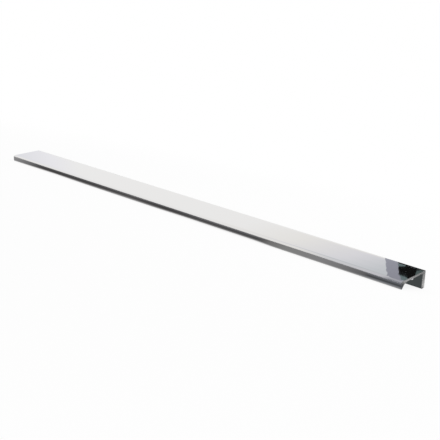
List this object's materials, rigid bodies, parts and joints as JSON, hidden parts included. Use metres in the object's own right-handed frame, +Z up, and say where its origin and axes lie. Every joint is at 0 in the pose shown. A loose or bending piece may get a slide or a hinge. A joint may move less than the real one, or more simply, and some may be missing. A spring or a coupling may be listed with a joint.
{
  "type": "handleless finger pull profile",
  "caption": "Long channel-shaped edge profile, screwed over the edge of a handleless door or drawer front as its finger pull.",
  "frame": {"origin": "centre of the footprint on the floor, at mid-length, with the profile lying as it rests unheld: plate up, on the nose of the lip and the inner edge of the flange", "axes": "+X along the profile, +Y from the lip towards the flange, +Z up; the section is tipped 15.37 degrees about X from the way it is fitted, lip down"},
  "size_m": [0.597, 0.0424, 0.0174],
  "materials": {
    "polished_plate": "bright chrome plating over polished extruded aluminium, mirror gloss"
  },
  "bodies": {
    "root": {"finger_pull_profile": "polished_plate"}
  },
  "joints": []
}
